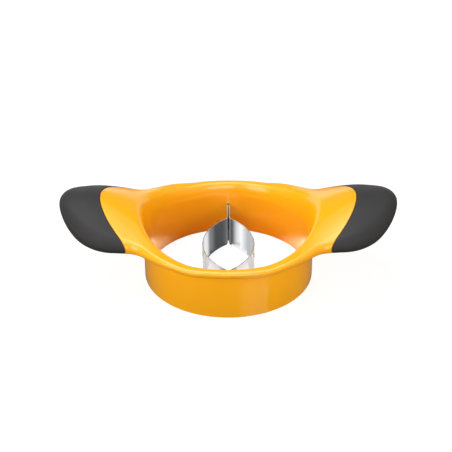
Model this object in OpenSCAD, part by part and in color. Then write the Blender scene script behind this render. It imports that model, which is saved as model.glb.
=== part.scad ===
// Mango slicer: a push-down ring with two upswept wings, soft grips and a pair of bowed blades.
// Millimetres, +Z up. The origin is the middle of the ring's foot, on the surface that it stands on.
// X runs along the two wings and Y from front to rear; the part is alike on both sides of each.

/* [Ring] */
// Outside diameter of the ring
ring_d = 124; // [118:1:130]
// Height of the skirt
ring_h = 35; // [32:0.5:38]
// Wall of the skirt at its foot
skirt_wall = 1.4; // [1.2:0.1:1.8]
// Wall of the funnel at its foot
funnel_wall = 1.8; // [1.6:0.1:2.2]
// Thickness of the foot that the skirt turns in under the funnel
foot_t = 1.4; // [1:0.1:2]
// Edge rounding of the foot
foot_round = 0.6; // [0.3:0.1:0.7]
// How far the joint between skirt and funnel leans out over its height
joint_draft = 0.4; // [0.2:0.1:0.6]
// Gap between mouldings that seat on each other
joint_fit = 0.1; // [0.05:0.05:0.15]

/* [Rim] */
// Overhang of the lip over the skirt, front and rear
lip_overhang = 5.2; // [4.2:0.1:6.2]
// Thickness of the lip, front and rear
lip_t = 5.2; // [4.6:0.1:6]
// Shadow gap between the skirt and the lip
shadow_gap = 0.4; // [0.3:0.1:0.8]
// How far the funnel's mouth flares past the bore, front and rear
mouth_flare = 1.7; // [1.4:0.1:2.1]
// How far the funnel's mouth flares past the bore at the wings
wing_flare = 4.9; // [4:0.1:6]
// Height of the flare below the rim, front and rear
flare_h = 9; // [7:0.5:10]
// Height of the flare below the rim at the wings
wing_flare_h = 5; // [4:0.5:7]
// Width of the mouth's rounding, front and rear
mouth_round = 1.2; // [1:0.1:1.4]
// Width of the mouth's rounding at the wings
wing_round = 5; // [4:0.5:7]

/* [Wings] */
// Length of a wing, from the ring's wall to its tip
wing_len = 59.4; // [55:0.2:64]
// Depth of a wing from front to rear
wing_depth = 81.8; // [76:0.2:88]
// Height of the wings' crest above the rim
wing_rise = 25.2; // [21:0.2:28]
// Thickness of a wing along its crest
wing_t = 13.8; // [13:0.2:16]
// Thickness of the edge at the tip
tip_edge_t = 16.6; // [14:0.2:18]
// Length of the rounding towards the tip
tip_round = 40.6; // [36:0.2:46]
// Fullness of the rounding: 2 is an ellipse
tip_power = 1.9; // [1.8:0.1:2.4]
// How fast the front and rear edges droop along the wing
droop = 0.315; // [0.25:0.005:0.4]
// How far inside the ring's wall the droop begins
droop_in = 22; // [16:0.2:28]
// How far inside the ring's wall the crest begins to rise
rise_in = 38; // [32:0.5:44]
// Length of the level crest at the tip
crest_level = 20; // [14:0.5:26]
// How far the rim's oval would reach past the ring's wall under the wing
oval_reach = 12.8; // [9:0.2:16]
// Power of the rim's oval: 2 is an ellipse, and more is squarer
oval_power = 2.2; // [2:0.05:2.4]
// Sharpness of the shoulder between rim and wing
blend = 10; // [6:0.5:12]

/* [Grips] */
// Length of a grip along the crest
grip_len = 29.6; // [26:0.2:32]
// How far the seam between wing and grip falls back from the crest to the wing's edges
seam_fall = 20.2; // [16:0.2:23]
// Width of the groove along the seam
seam_gap = 0.3; // [0.2:0.1:0.5]
// Thickness of the soft skin
skin_t = 2.2; // [1.6:0.1:2.6]
// Width of the tongue that carries a grip
tongue_w = 32; // [26:1:34]
// Thickness of the tongue
tongue_t = 5; // [4:0.1:5.4]
// How far the tongue reaches into the wing
tongue_len = 18; // [14:0.5:19]
// Lean of the tongue along the wing
tongue_lean = 20; // [16:1:24]

/* [Blades] */
// Thickness of a blade
blade_t = 0.6; // [0.4:0.1:0.8]
// Height of a blade
blade_h = 22; // [18:0.5:24]
// Gap between the two blades where they run side by side
blade_gap = 0.3; // [0.2:0.1:0.6]
// Width of the pit cell between the blades
pit_w = 38.4; // [34:0.2:44]
// Length of the pit cell from front to rear
pit_len = 77; // [70:1:84]
// Bend where a blade leaves its straight tail
cusp_r = 4; // [3:0.5:6]
// Length of the flat hook at the tail's end
hook_len = 3.4; // [2.6:0.1:4]
// Height of the ground bevel
bevel_h = 1.6; // [1:0.1:2.4]
// Width of the cutting edge
edge_w = 0.12; // [0.08:0.02:0.2]

/* [Screws] */
// Diameter of a screw's shank
screw_d = 2.6; // [2.2:0.1:3]
// Diameter of a screw's head
head_d = 5.4; // [4.8:0.1:6]
// Height of a screw's head
head_h = 1.2; // [0.8:0.1:1.6]
// Wall of the wing between a screw's head and the tongue
seat_wall = 1.5; // [1.2:0.1:2]
// Wall of the tongue left over a screw's point
point_wall = 1; // [0.6:0.1:1.4]
// Distance between a wing's two screws
screw_pitch = 18; // [14:1:22]
// Distance of the screws from the seam
screw_in = 10; // [8:0.5:11]

/* [Hidden] */
$fn = 96;
yellow = [0.97, 0.69, 0.14];
charcoal = [0.24, 0.24, 0.25];
core_grey = [0.45, 0.45, 0.47];
steel = [0.80, 0.81, 0.83];
screw_steel = [0.62, 0.63, 0.65];

// Ring
ring_r = ring_d / 2;
joint_r = ring_r - skirt_wall;
bore_r = joint_r - joint_fit - funnel_wall;
rim_y = ring_r + lip_overhang;
rim_z = ring_h + shadow_gap + lip_t;
// Height over which the bore's wall bends into the flare, and how far the bore opens up to there
flare_ease = 3.5;
bore_draft = 0.3;
flare_z = rim_z - flare_h - flare_ease;
wall_r = bore_r + bore_draft;

// Wings
tip_x = ring_r + wing_len;
half_w = wing_depth / 2;
round_x = tip_x - tip_round;
rim_x = ring_r + oval_reach;
rise_x = ring_r - rise_in;
level_x = tip_x - crest_level;
droop_x = ring_r - droop_in;
// Softness of the droop's beginning, and power by which the edge thickens towards the tip
droop_soft = 6;
edge_growth = 1.5;
// Share of the tip's rounding inside which a point counts as far from the edge
tip_middle = 0.2;

// Seam between wing and grip
seam_x = tip_x - grip_len;
seam_bow = seam_fall / pow(half_w, 2);

// Tongue: half way between the arch's height at its middle and at its edges, rooted in the core by core_grip
tongue_drop = arch(seam_x) * pow(tongue_w / wing_depth, 2) / 2;
core_grip = 3;
// Screws, with their clearance in the wing and in the tongue's pilot holes
screw_len = seat_wall + tongue_t - point_wall;
screw_fit = 0.2;
head_fit = 0.3;
pilot_fit = 0.1;

// Blades
blade_z = foot_t + joint_fit;
blade_top = blade_z + blade_h;
tail_x = (blade_gap + blade_t) / 2;
tail_r = blade_t / 2 + joint_fit;
hook_x = tail_x + tail_r + hook_len;
hook_y = sqrt(joint_r * joint_r - hook_x * hook_x) - joint_fit - blade_t / 2;
cusp_y = pit_len / 2;
mid_x = (pit_w - blade_t) / 2;
bow_a = 2 * atan((mid_x - tail_x) / cusp_y);
bow_r = cusp_y / sin(bow_a) - cusp_r;
// Stations along the bow, the bend into the tail and the bend into the hook
bow_steps = 16;
cusp_steps = 8;
hook_steps = 6;
// The right blade's line in plan, from the cell's middle to the end of the rear hook: each station is a
// point and the direction across the strip
function on_arc(centre, r, from, to, steps, side) = [
    for (i = [0:steps - 1])
        let (a = from + (to - from) * i / steps, out = [cos(a), sin(a)])
        [centre + r * out, side * out]
];
rear_line = [
    each on_arc([mid_x - bow_r, 0], bow_r, 0, bow_a, bow_steps, 1),
    each on_arc([tail_x + cusp_r, cusp_y], cusp_r, 180 + bow_a, 180, cusp_steps, -1),
    [[tail_x, cusp_y], [1, 0]],
    each on_arc([tail_x + tail_r, hook_y - tail_r], tail_r, 180, 90, hook_steps, -1),
    [[tail_x + tail_r, hook_y], [0, -1]],
    [[hook_x, hook_y], [0, -1]]
];
// Slots and hook pockets in the funnel's wall
pocket_r = hook_y - blade_t / 2 - joint_fit;
pocket_end = 0.4;
pocket_ease = 0.3;
slot_top = blade_top + joint_fit;
slot_half = tail_x + blade_t / 2 + joint_fit;
hook_half = hook_x + pocket_end;
// Steps of the search for a point on a curve by halving
halvings = 36;

// Smooth step from 0 to 1
function smooth(t) = t <= 0 ? 0 : t >= 1 ? 1 : t * t * (3 - 2 * t);

// Half depth of the wing, of the rim's oval, and of the outline that blends them, with its slope
function tip_share(x) = max(0, x - round_x) / tip_round;
function wing_half(x) = half_w * pow(max(0, 1 - pow(tip_share(x), tip_power)), 1 / tip_power);
function oval_half(x) = rim_y * pow(max(0, 1 - pow(x / rim_x, oval_power)), 1 / oval_power);
function half_depth(x) = pow(pow(wing_half(x), blend) + pow(oval_half(x), blend), 1 / blend);
function depth_slope(x) =
    let (
        y = half_depth(x),
        of_wing = pow(wing_half(x) / y, blend - tip_power) * pow(tip_share(x) * half_w / y, tip_power - 1),
        oval_lean = rim_y / rim_x,
        of_oval = pow(oval_half(x) / y, blend - oval_power) * pow(oval_lean * x / y, oval_power - 1)
    ) -of_wing * half_w / tip_round - of_oval * oval_lean;

// Distance of a plan point in from the outline, which is drawn in by inset all round
function edge_dist(x, y, inset) =
    x <= max(round_x, rim_x)
    ? (half_depth(x) - inset - y) / sqrt(1 + pow(depth_slope(x), 2))
    : tip_dist((x - round_x) / (tip_round - inset), y / (half_w - inset), inset);
function tip_dist(u, v, inset) =
    let (rho = pow(pow(u, tip_power) + pow(v, tip_power), 1 / tip_power))
    rho < tip_middle
    ? half_w / 2
    : let (
        gu = pow(u / rho, tip_power - 1) / (tip_round - inset),
        gv = pow(v / rho, tip_power - 1) / (half_w - inset)
    ) (1 - rho) / norm([gu, gv]);

// Upper surface before its edge is rolled, and thickness under it
function crest(x) = rim_z + wing_rise * smooth((x - rise_x) / (level_x - rise_x));
function arch(x) = droop * (x - droop_x + norm([x - droop_x, droop_soft])) / 2;
function top_base(x, y) = crest(x) - arch(x) * pow(y / max(half_w, half_depth(x)), 2);
function edge_t(x) = lip_t + (tip_edge_t - lip_t) * pow(x / tip_x, edge_growth);
function thickness(x, y) = wing_t - (wing_t - edge_t(x)) * pow(y / max(half_w, half_depth(x)), 2);

// Share of the thickness that the rolled edge leaves
function roll(x, y, inset) =
    let (r = edge_t(x) / 2 - inset, d = max(0, edge_dist(x, y, inset)))
    d >= r ? 1 : sqrt(max(0, 1 - pow(1 - d / r, 2)));
function middle_z(x, y) = top_base(x, y) - thickness(x, y) / 2;
function half_t(x, y, inset) = (thickness(x, y) / 2 - inset) * roll(x, y, inset);
function top_z(x, y, inset = 0) = middle_z(x, y) + half_t(x, y, inset);
function under_z(x, y, inset = 0) = middle_z(x, y) - half_t(x, y, inset);
// The same at a radius and a bearing
function top_at(r, a) = top_z(r * cos(a), r * sin(a));
function under_at(r, a) = under_z(r * cos(a), r * sin(a));

// Radius of the outline at a bearing from the wing's axis, by halving
function rim_r(a, lo, hi, n = halvings) =
    let (mid = (lo + hi) / 2)
    n == 0
    ? mid
    : mid * sin(a) > half_depth(mid * cos(a)) ? rim_r(a, lo, mid, n - 1) : rim_r(a, mid, hi, n - 1);
// Radius of the seam at a bearing
function seam_at(a) =
    2 * seam_x / (cos(a) + sqrt(pow(cos(a), 2) + 4 * seam_bow * seam_x * pow(sin(a), 2)));
// Bearing at which the seam meets the outline, by halving
function seam_bearing(lo, hi, n = halvings) =
    let (mid = (lo + hi) / 2, r = seam_at(mid))
    n == 0
    ? mid
    : r * sin(mid) > half_depth(r * cos(mid)) ? seam_bearing(lo, mid, n - 1) : seam_bearing(mid, hi, n - 1);

corner_a = seam_bearing(0, 90);
hook_a = asin(hook_half / joint_r);
slot_a = asin(slot_half / bore_r);
// Turn over which the wall drops into a slot or a pocket
cut_a = 0.06;
// Bearings of the body's sections over a quarter turn, closer at the seam's end and at the blade slot
seam_steps = [0, 0.15, 0.3, 0.45, 0.6, 0.72, 0.82, 0.89, 0.93, 0.96, 0.98, 0.995];
rim_steps = [0.006, 0.02, 0.05, 0.1, 0.16, 0.22, 0.29, 0.36, 0.44, 0.52, 0.61, 0.7, 0.8, 0.9];
rim_span = 90 - hook_a - cut_a - corner_a;
quarter = [
    for (s = seam_steps) s * corner_a,
    for (s = rim_steps) corner_a + s * rim_span,
    90 - hook_a - cut_a,
    90 - hook_a,
    90 - slot_a - cut_a,
    90 - slot_a
];
bearings = [
    each quarter,
    90,
    for (i = [len(quarter) - 1:-1:1]) 180 - quarter[i],
    for (a = quarter) 180 + a,
    270,
    for (i = [len(quarter) - 1:-1:1]) 360 - quarter[i]
];

// Radius of the joint between funnel and skirt, and of the bore's wall, at a height
function joint_at(z) = joint_r + joint_draft * z / ring_h;
function bore_at(z) = bore_r + bore_draft * z / flare_z;
// A size at a bearing, from its value front and rear and its value at the wings
function between(front, wing, a) = front + (wing - front) * pow(cos(a), 2);

// One closed section of the funnel, rim and wing at a bearing from 0 to 90, as radius and height
roll_steps = [90, 75, 60, 45, 30, 15, 5];
run_steps = [0.2, 0.4, 0.6, 0.8];
function section(a) =
    let (
        seamed = a < corner_a,
        slotted = a >= 90 - slot_a,
        hooked = a >= 90 - hook_a,
        end = seamed ? seam_at(a) : rim_r(a, ring_r, tip_x),
        // Sharp corner between the funnel's wall and the upper surface, and the ends of its rounding
        corner_r = bore_r + between(mouth_flare, wing_flare, a),
        corner_z = top_at(corner_r, a),
        down = between(flare_h, wing_flare_h, a),
        rise = corner_z - down - flare_z,
        bend = (corner_r - wall_r) / (rise * (rise + 2 * down)),
        low = [wall_r + bend * rise * rise, corner_z - down],
        high_r = corner_r + between(mouth_round, wing_round, a),
        high = [high_r, top_at(high_r, a)],
        // Rolled edge, or the surface up to the seam
        slope = depth_slope(end * cos(a)),
        lean = seamed ? 1 : (sin(a) - slope * cos(a)) / sqrt(1 + slope * slope),
        last = roll_steps[len(roll_steps) - 1],
        near = seamed ? 1 - cos(last) : 0,
        roll_depth = edge_t(end * cos(a)) / 2 / lean,
        roll_r = end - roll_depth * (1 - near),
        rolls = [for (w = roll_steps) end - roll_depth * (1 - cos(w) - near)],
        // Outer wall, with the slot and the hook pocket
        ledge_r = joint_at(ring_h) - joint_fit,
        foot = slotted ? slot_top : foot_t + joint_fit,
        pocket_z = slot_top + pocket_ease,
        wall_z = pocket_z + pocket_ease
    ) [
        [bore_at(foot), foot],
        [bore_at(wall_z), wall_z],
        [wall_r, flare_z],
        for (t = [1 / 3, 2 / 3]) [wall_r + bend * pow(t * rise, 2), flare_z + t * rise],
        for (t = [0, each run_steps, 1])
            (1 - t) * (1 - t) * low + 2 * t * (1 - t) * [corner_r, corner_z] + t * t * high,
        for (t = run_steps) let (r = high_r + t * (roll_r - high_r)) [r, top_at(r, a)],
        for (r = rolls) [r, top_at(r, a)],
        for (i = [len(rolls) - 1:-1:0]) [rolls[i], under_at(rolls[i], a)],
        for (t = run_steps)
            let (r = roll_r + t * (ledge_r - roll_r)) [r, max(ring_h + joint_fit, under_at(r, a))],
        [ledge_r, ring_h + joint_fit],
        [joint_at(wall_z) - joint_fit, wall_z],
        [hooked ? pocket_r : joint_at(pocket_z) - joint_fit, pocket_z],
        [hooked ? pocket_r : joint_at(foot) - joint_fit, foot]
    ];
// Folds a bearing into the first quarter
function folded(a) = let (b = a % 180) b > 90 ? 180 - b : b;

// Triangles of a skin of rings; wrap joins the last ring to the first
function skin(rings, sides, wrap, start = 0) = [
    for (i = [0:rings - (wrap ? 1 : 2)], j = [0:sides - 1])
        let (
            a = start + i * sides + j,
            b = start + i * sides + (j + 1) % sides,
            c = start + (i + 1) % rings * sides + j,
            d = start + (i + 1) % rings * sides + (j + 1) % sides
        ) each [[a, b, d], [a, d, c]]
];
// Triangles from one ring to a point
function cap(start, sides, tip) = [for (j = [0:sides - 1]) [start + j, start + (j + 1) % sides, tip]];
function flip(faces) = [for (f = faces) [f[2], f[1], f[0]]];

// Half width of a grip's ring that crosses the crest at x and bows back by bow, by halving
function ring_end(x, bow, inset, lo = 0, hi = half_w, n = halvings) =
    let (y = (lo + hi) / 2)
    n == 0
    ? y
    : edge_dist(x - bow * y * y, y, inset) > 0
    ? ring_end(x, bow, inset, y, hi, n - 1)
    : ring_end(x, bow, inset, lo, y, n - 1);

// Rings of a grip's surface from the seam to the tip, each over the top and back along the underside
arc_steps = 10;
ring_steps = 13;
tip_bow = 0.3;
function grip_ring(x, bow, inset) =
    let (end = ring_end(x, bow, inset))
    [
        for (i = [-arc_steps:arc_steps])
            let (y = end * sin(90 * i / arc_steps), px = x - bow * y * y)
            [px, y, top_z(px, abs(y), inset)],
        for (i = [arc_steps - 1:-1:1 - arc_steps])
            let (y = end * sin(90 * i / arc_steps), px = x - bow * y * y)
            [px, y, under_z(px, abs(y), inset)]
    ];
function grip_rings(from, inset) = [
    for (i = [0:ring_steps - 1])
        let (t = sin(90 * i / ring_steps))
        grip_ring(from + (tip_x - inset - from) * t, seam_bow * (1 - t * (1 - tip_bow)), inset)
];
function grip_tip(inset) = [tip_x - inset, 0, middle_z(tip_x, 0)];

module body_shell() {
    loops = [
        for (a = bearings)
            let (ring = section(folded(a)))
            [for (p = ring) [p.x * cos(a), p.x * sin(a), p.y]]
    ];
    sides = len(loops[0]);
    polyhedron([for (ring = loops) each ring], flip(skin(len(loops), sides, true)), convexity = 10);
}

// Places its children in the tongue's own frame: X towards the tip, Z out of its upper face
module on_tongue() {
    translate([seam_x, 0, middle_z(seam_x, 0) - tongue_drop]) rotate([0, -tongue_lean, 0]) children();
}
module tongue(fit, reach) {
    on_tongue()
        translate([-tongue_len - fit, -tongue_w / 2 - fit, -tongue_t / 2 - fit])
            cube([tongue_len + reach + fit, tongue_w + 2 * fit, tongue_t + 2 * fit]);
}
// Places its children at a wing's two screws, Z along the shank, with 0 at the head's seat
module at_screws() {
    on_tongue()
        for (y = [-screw_pitch / 2, screw_pitch / 2])
            translate([-screw_in, y, -tongue_t / 2 - seat_wall]) children();
}
module both_wings() {
    children();
    mirror([1, 0, 0]) children();
}

module funnel_body() {
    color(yellow)
        difference() {
            body_shell();
            both_wings() {
                tongue(joint_fit, wing_len);
                at_screws() {
                    cylinder(d = screw_d + 2 * screw_fit, h = seat_wall + tongue_t / 2);
                    mirror([0, 0, 1]) cylinder(d = head_d + 2 * head_fit, h = wing_t);
                }
            }
        }
}

module skirt_ring() {
    top_r = joint_at(ring_h);
    color(yellow)
        rotate_extrude()
            polygon([
                for (w = [0:15:90]) [ring_r - foot_round * (1 - sin(w)), foot_round * (1 - cos(w))],
                [ring_r, ring_h],
                [top_r, ring_h],
                [joint_at(foot_t), foot_t],
                [bore_r, foot_t],
                for (w = [90:-15:0]) [bore_r + foot_round * (1 - sin(w)), foot_round * (1 - cos(w))]
            ]);
}

// Bent strip with a ground lower edge, swept along the right blade's line
module right_strip() {
    section = [
        [-blade_t / 2, blade_top],
        [blade_t / 2, blade_top],
        [blade_t / 2, blade_z + bevel_h],
        [edge_w / 2, blade_z],
        [-edge_w / 2, blade_z],
        [-blade_t / 2, blade_z + bevel_h]
    ];
    line = [
        for (i = [len(rear_line) - 1:-1:1]) [for (v = rear_line[i]) [v.x, -v.y]],
        each rear_line
    ];
    rings = [for (s = line) [for (p = section) let (q = s[0] + p.x * s[1]) [q.x, q.y, p.y]]];
    sides = len(section);
    end = (len(line) - 1) * sides;
    polyhedron(
        [for (ring = rings) each ring],
        concat(
            flip(skin(len(rings), sides, false)),
            [for (j = [1:sides - 2]) [0, j, j + 1]],
            [for (j = [1:sides - 2]) [end, end + j + 1, end + j]]
        ),
        convexity = 6
    );
}
module right_blade() {
    color(steel) right_strip();
}
module left_blade() {
    color(steel) mirror([1, 0, 0]) right_strip();
}

// Stiff core of the right grip with the tongue that plugs into the wing
module core_solid() {
    inset = skin_t + joint_fit;
    rings = grip_rings(seam_x + seam_gap, inset);
    sides = len(rings[0]);
    count = len(rings) * sides;
    half = 2 * arc_steps;
    end_face = [
        for (i = [0:half - 1])
            let (back = sides - i - 1, last = (sides - i) % sides)
            each [if (i < half - 1) [i + 1, i, back], if (i > 0) [i, last, back]]
    ];
    difference() {
        union() {
            polyhedron(
                concat([for (ring = rings) each ring], [grip_tip(inset)]),
                concat(skin(len(rings), sides, false), cap(count - sides, sides, count), end_face),
                convexity = 4
            );
            tongue(0, core_grip);
        }
        at_screws() cylinder(d = screw_d + 2 * pilot_fit, h = screw_len + pilot_fit);
    }
}
module right_grip_core() {
    color(core_grey) core_solid();
}
module left_grip_core() {
    color(core_grey) mirror([1, 0, 0]) core_solid();
}

// Soft skin of the right grip, closed over the tip and open at the seam
module skin_solid() {
    outer = grip_rings(seam_x + seam_gap, 0);
    inner = grip_rings(seam_x + seam_gap, skin_t);
    sides = len(outer[0]);
    count = len(outer) * sides;
    tips = 2 * count;
    lip = [
        for (j = [0:sides - 1])
            let (k = (j + 1) % sides)
            each [[k, j, count + j], [k, count + j, count + k]]
    ];
    polyhedron(
        [for (ring = outer) each ring, for (ring = inner) each ring, grip_tip(0), grip_tip(skin_t)],
        concat(
            skin(len(outer), sides, false),
            cap(count - sides, sides, tips),
            flip(skin(len(inner), sides, false, count)),
            flip(cap(2 * count - sides, sides, tips + 1)),
            lip
        ),
        convexity = 6
    );
}
module right_grip() {
    color(charcoal) skin_solid();
}
module left_grip() {
    color(charcoal) mirror([1, 0, 0]) skin_solid();
}

module grip_screws() {
    color(screw_steel)
        both_wings()
            at_screws() {
                cylinder(d = screw_d, h = screw_len);
                mirror([0, 0, 1]) cylinder(d = head_d, h = head_h);
            }
}

funnel_body();
skirt_ring();
left_blade();
right_blade();
left_grip_core();
right_grip_core();
left_grip();
right_grip();
grip_screws();
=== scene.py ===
"""Looks of a mango slicer: a yellow funnel ring with two wings, soft grips and a pair of bowed blades.

Sizes are in millimetres in the part's own frame: X along the wings, Y to the rear, Z up from the foot.
"""
import logging
import math
from abc import ABC, abstractmethod
from contextlib import contextmanager
from dataclasses import dataclass, field, replace
from enum import Enum
from functools import cached_property
from typing import Any, Callable, Iterator

import bpy
from mathutils import Matrix, Vector


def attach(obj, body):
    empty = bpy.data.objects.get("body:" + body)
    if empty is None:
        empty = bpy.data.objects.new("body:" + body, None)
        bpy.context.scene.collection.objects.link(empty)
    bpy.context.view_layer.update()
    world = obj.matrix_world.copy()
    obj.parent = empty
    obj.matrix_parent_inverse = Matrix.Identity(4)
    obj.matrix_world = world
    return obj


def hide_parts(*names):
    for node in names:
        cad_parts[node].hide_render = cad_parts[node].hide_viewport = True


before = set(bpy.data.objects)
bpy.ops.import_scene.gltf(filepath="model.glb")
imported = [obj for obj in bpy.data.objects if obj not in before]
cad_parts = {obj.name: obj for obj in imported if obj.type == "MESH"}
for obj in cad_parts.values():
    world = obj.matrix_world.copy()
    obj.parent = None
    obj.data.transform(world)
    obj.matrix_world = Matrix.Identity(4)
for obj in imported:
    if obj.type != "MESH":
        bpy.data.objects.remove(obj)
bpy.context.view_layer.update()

LOG = logging.getLogger("mango_slicer")
MM = 0.001
MERGE = 1e-7
HALVINGS = 40
QUARTER = math.pi / 2
BODY = "root"
WHITE = "#FFFFFF"

Pair = tuple[float, float]
Point = tuple[float, float, float]
Piece = bpy.types.Object
Tree = bpy.types.NodeTree
Socket = bpy.types.NodeSocket
Sockets = dict[str | int, Any]


class Side(Enum):
    """Side of the slicer that a piece belongs to; the value is its direction along X."""

    LEFT = -1
    RIGHT = 1


def linear(code: str) -> tuple[float, float, float, float]:
    """Turn an sRGB hex colour into linear light.

    Args:
        code: Colour such as "#F2A81E".

    Returns:
        Linear red, green and blue, and an alpha of one.
    """
    shares = [int(code[i:i + 2], 16) / 255 for i in (1, 3, 5)]
    light = [s / 12.92 if s <= 0.04045 else ((s + 0.055) / 1.055) ** 2.4 for s in shares]
    return (*light, 1.0)


def smooth(t: float) -> float:
    """Return the smooth step of t from 0 to 1."""
    t = min(1.0, max(0.0, t))
    return t * t * (3 - 2 * t)


def halve(inside: Callable[[float], bool], low: float, high: float) -> float:
    """Find where a test stops holding, by halving.

    Args:
        inside: Test that holds at low and fails at high.
        low: Lower end of the search.
        high: Upper end of the search.

    Returns:
        The value at which the test changes.
    """
    for _ in range(HALVINGS):
        middle = (low + high) / 2
        if inside(middle):
            low = middle
        else:
            high = middle
    return (low + high) / 2


def steps(count: int, first: float = 0.0, last: float = 1.0) -> list[float]:
    """Return count + 1 even steps from first to last."""
    return [first + (last - first) * i / count for i in range(count + 1)]


def deselect() -> None:
    """Leave nothing selected before an operator acts."""
    bpy.ops.object.select_all(action="DESELECT")


def select(*pieces: Piece) -> None:
    """Make some pieces the selected ones, and the first of them the active one.

    Args:
        *pieces: The pieces.
    """
    deselect()
    for piece in pieces:
        piece.select_set(True)
    bpy.context.view_layer.objects.active = pieces[0]


@contextmanager
def editing(piece: Piece) -> Iterator[None]:
    """Hold a piece in edit mode with its whole mesh selected.

    Args:
        piece: The piece.

    Returns:
        The hold, for a with statement.
    """
    select(piece)
    bpy.ops.object.mode_set(mode="EDIT")
    bpy.ops.mesh.select_all(action="SELECT")
    yield
    bpy.ops.object.mode_set(mode="OBJECT")


def close_mesh(piece: Piece) -> None:
    """Merge a mesh's doubled points and turn its faces outwards.

    Args:
        piece: The piece.
    """
    with editing(piece):
        bpy.ops.mesh.remove_doubles(threshold=MERGE)
        bpy.ops.mesh.normals_make_consistent(inside=False)


def shade(piece: Piece, degrees: float) -> None:
    """Shade a piece smooth, apart from edges sharper than an angle."""
    select(piece)
    bpy.ops.object.shade_smooth_by_angle(angle=math.radians(degrees))


def apply_modifier(piece: Piece, kind: str, **settings: Any) -> None:
    """Add a modifier with its settings and apply it.

    Args:
        piece: Piece that it changes.
        kind: Blender's name of the modifier's type.
        **settings: Values of the modifier's own properties.
    """
    modifier = piece.modifiers.new(kind.lower(), kind)
    for name, value in settings.items():
        setattr(modifier, name, value)
    select(piece)
    bpy.ops.object.modifier_apply(modifier=modifier.name)


def round_edges(piece: Piece, width: float, count: int, degrees: float) -> None:
    """Round a piece's sharp edges.

    Args:
        piece: The piece.
        width: Width of the rounding.
        count: Number of faces across it.
        degrees: Angle from which an edge is sharp.
    """
    apply_modifier(
        piece, "BEVEL", width=width * MM, segments=count,
        limit_method="ANGLE", angle_limit=math.radians(degrees),
    )


def wrapped_grid(name: str, columns: int, rows: int, place: Callable[[int, int], Point]) -> Piece:
    """Wrap a flat grid round a form.

    Args:
        name: Name of the piece.
        columns: Number of faces along the grid's X.
        rows: Number of faces along the grid's Y.
        place: Gives the point, in millimetres, for a column and a row.

    Returns:
        The piece, with its points moved to the form.
    """
    deselect()
    bpy.ops.mesh.primitive_grid_add(x_subdivisions=columns, y_subdivisions=rows, size=2)
    piece = bpy.context.object
    piece.name = piece.data.name = name
    for vertex in piece.data.vertices:
        column = round((vertex.co.x + 1) / 2 * columns)
        row = round((vertex.co.y + 1) / 2 * rows)
        vertex.co = Vector(place(column, row)) * MM
    return piece


def joined(pieces: list[Piece]) -> Piece:
    """Join pieces into the first of them.

    Args:
        pieces: The pieces.

    Returns:
        The first piece, which holds them all.
    """
    select(*pieces)
    if len(pieces) > 1:
        bpy.ops.object.join()
    return pieces[0]


def take_away(piece: Piece, cutters: list[Piece]) -> None:
    """Cut solids out of a piece and delete them.

    Args:
        piece: Piece that is cut.
        cutters: Solids that don't overlap each other.
    """
    cutter = joined(cutters)
    apply_modifier(piece, "BOOLEAN", operation="DIFFERENCE", solver="EXACT", object=cutter)
    select(cutter)
    bpy.ops.object.delete()


def add_node(tree: Tree, kind: str, inputs: Sockets | None = None, **settings: Any) -> bpy.types.Node:
    """Add a shader node with its settings and links.

    Args:
        tree: Node tree that takes it.
        kind: Blender's name of the node's type, without its prefix.
        inputs: For each input, by name or number, a socket to link or a value to set.
        **settings: Values of the node's own properties.

    Returns:
        The node.
    """
    node = tree.nodes.new(f"ShaderNode{kind}")
    for name, value in settings.items():
        setattr(node, name, value)
    for name, value in (inputs or {}).items():
        if isinstance(value, Socket):
            tree.links.new(value, node.inputs[name])
        else:
            node.inputs[name].default_value = value
    return node


def empty_tree(owner: bpy.types.Material | bpy.types.World) -> Tree:
    """Give a material or the surroundings an empty node tree.

    Args:
        owner: Material or surroundings.

    Returns:
        The tree.
    """
    owner.use_nodes = True
    owner.node_tree.nodes.clear()
    return owner.node_tree


@dataclass(frozen=True)
class Cloud:
    """A cloudy pattern with blotches of a real size, in millimetres, and octaves of finer detail."""

    size: float
    detail: float

    def value(self, tree: Tree) -> Socket:
        """Lay the pattern out on the piece.

        Args:
            tree: Node tree that takes it.

        Returns:
            Its value, from 0 to 1.
        """
        place = add_node(tree, "TexCoord").outputs["Object"]
        inputs = {"Vector": place, "Scale": 1 / (self.size * MM), "Detail": self.detail}
        return add_node(tree, "TexNoise", inputs).outputs["Fac"]

    def colour(self, tree: Tree, deep: str, light: str) -> Socket:
        """Return a colour that is clouded between two hex colours."""
        inputs = {"Factor": self.value(tree), "A": linear(deep), "B": linear(light)}
        return add_node(tree, "Mix", inputs, data_type="RGBA").outputs["Result"]

    def dullness(self, tree: Tree, roughness: Pair) -> Socket:
        """Return a roughness that is clouded between two values."""
        inputs = {"Value": self.value(tree), "To Min": roughness[0], "To Max": roughness[1]}
        return add_node(tree, "MapRange", inputs).outputs["Result"]

    def relief(self, tree: Tree, depth: float) -> Socket:
        """Return the normal of a surface that is clouded to a depth in millimetres."""
        inputs = {"Height": self.value(tree), "Distance": depth * MM, "Strength": 1.0}
        return add_node(tree, "Bump", inputs).outputs["Normal"]


class Finish(ABC):
    """A surface finish that makes its material once and gives it to every piece that wears it."""

    name: str

    def material(self) -> bpy.types.Material:
        """Return the finish's material, made at its first use.

        Returns:
            The material.
        """
        made = bpy.data.materials.get(self.name)
        if made is None:
            made = bpy.data.materials.new(self.name)
            tree = empty_tree(made)
            shader = add_node(tree, "BsdfPrincipled", self.sockets(tree))
            add_node(tree, "OutputMaterial", {"Surface": shader.outputs[0]})
        return made

    @abstractmethod
    def sockets(self, tree: Tree) -> Sockets:
        """Build what feeds the finish's shader.

        Args:
            tree: Empty node tree of the material.

        Returns:
            The shader's inputs.
        """


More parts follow.
